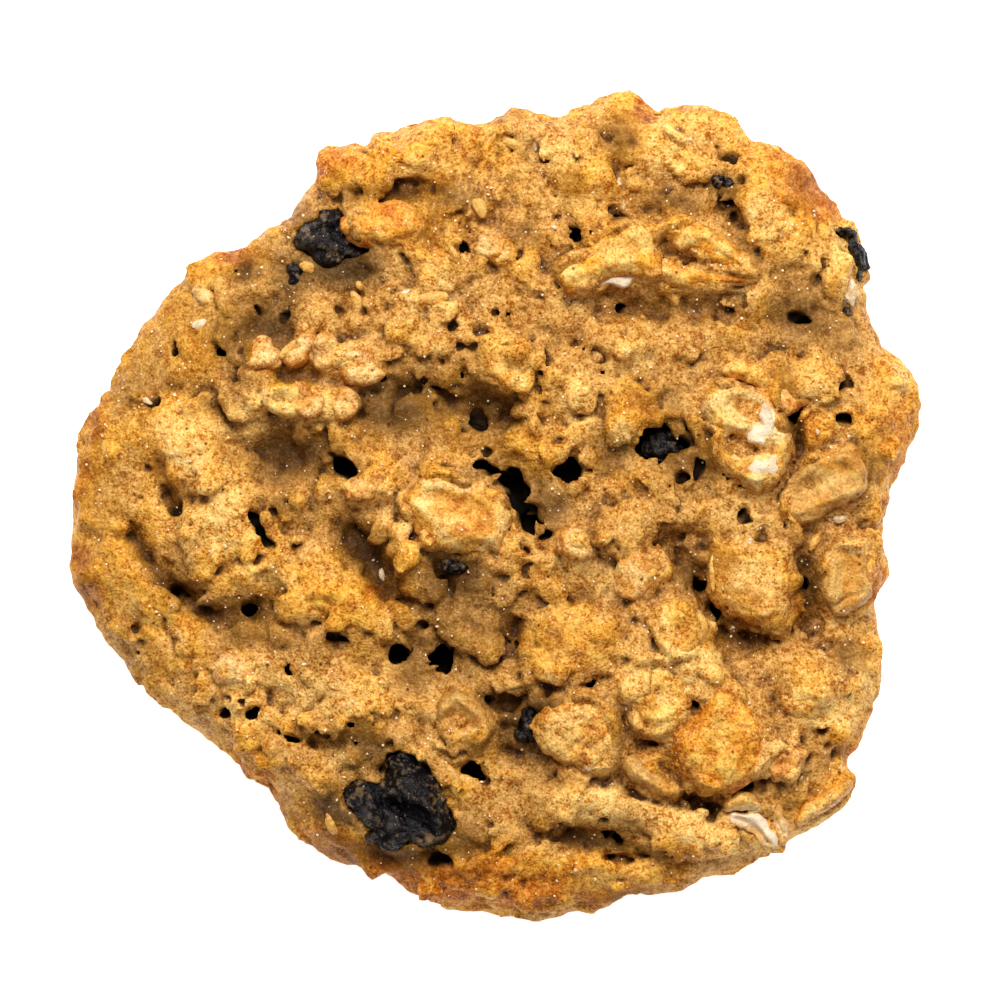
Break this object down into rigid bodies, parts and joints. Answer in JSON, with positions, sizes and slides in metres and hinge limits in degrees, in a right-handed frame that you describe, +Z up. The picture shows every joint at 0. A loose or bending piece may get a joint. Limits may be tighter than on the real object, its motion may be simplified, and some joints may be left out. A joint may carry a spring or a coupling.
{
  "type": "oatmeal blueberry cookie",
  "caption": "Craggy round oatmeal cookie with dried blueberries and rolled oat flakes baked into its top, flat underneath.",
  "frame": {"origin": "middle of the flat underside, on the surface that the cookie lies on", "axes": "+Z up through the crumbly top, +Y the edge at the top of the picture, +X the edge at its right"},
  "size_m": [0.0751, 0.0727, 0.0108],
  "materials": {
    "dough": "baked crumb, matte with tiny sugar glints",
    "blueberry": "wrinkled dried skin, satin",
    "oat_flake": "toasted oat, matte",
    "oat_chunk": "well browned oat, matte",
    "oat_curl": "pale torn oat, matte"
  },
  "bodies": {
    "root": {"cookie_dough": "dough", "blueberry_upper_left": "blueberry", "blueberry_lower_left": "blueberry", "blueberry_right_edge": "blueberry", "blueberry_lower_middle": "blueberry", "blueberry_in_right_pit": "blueberry", "blueberry_under_flake": "blueberry", "oat_flake_centre": "oat_flake", "oat_flake_long_left": "oat_flake", "oat_flake_long_right": "oat_flake", "oat_flake_long_lower": "oat_flake", "oat_flake_top_right": "oat_flake", "oat_flake_above_curl": "oat_flake", "oat_flake_right": "oat_flake", "oat_flake_right_rim": "oat_flake", "oat_flake_creased": "oat_flake", "oat_flake_slender": "oat_flake", "oat_flake_lower_rim": "oat_flake", "oat_piece_pale": "oat_chunk", "oat_shred_white": "oat_curl", "oat_flake_curled": "oat_curl", "oat_ring": "oat_curl", "oat_piece_upper_left": "oat_chunk", "oat_piece_yellow": "oat_chunk", "oat_piece_golden": "oat_chunk", "oat_piece_lower": "oat_chunk"}
  },
  "joints": []
}
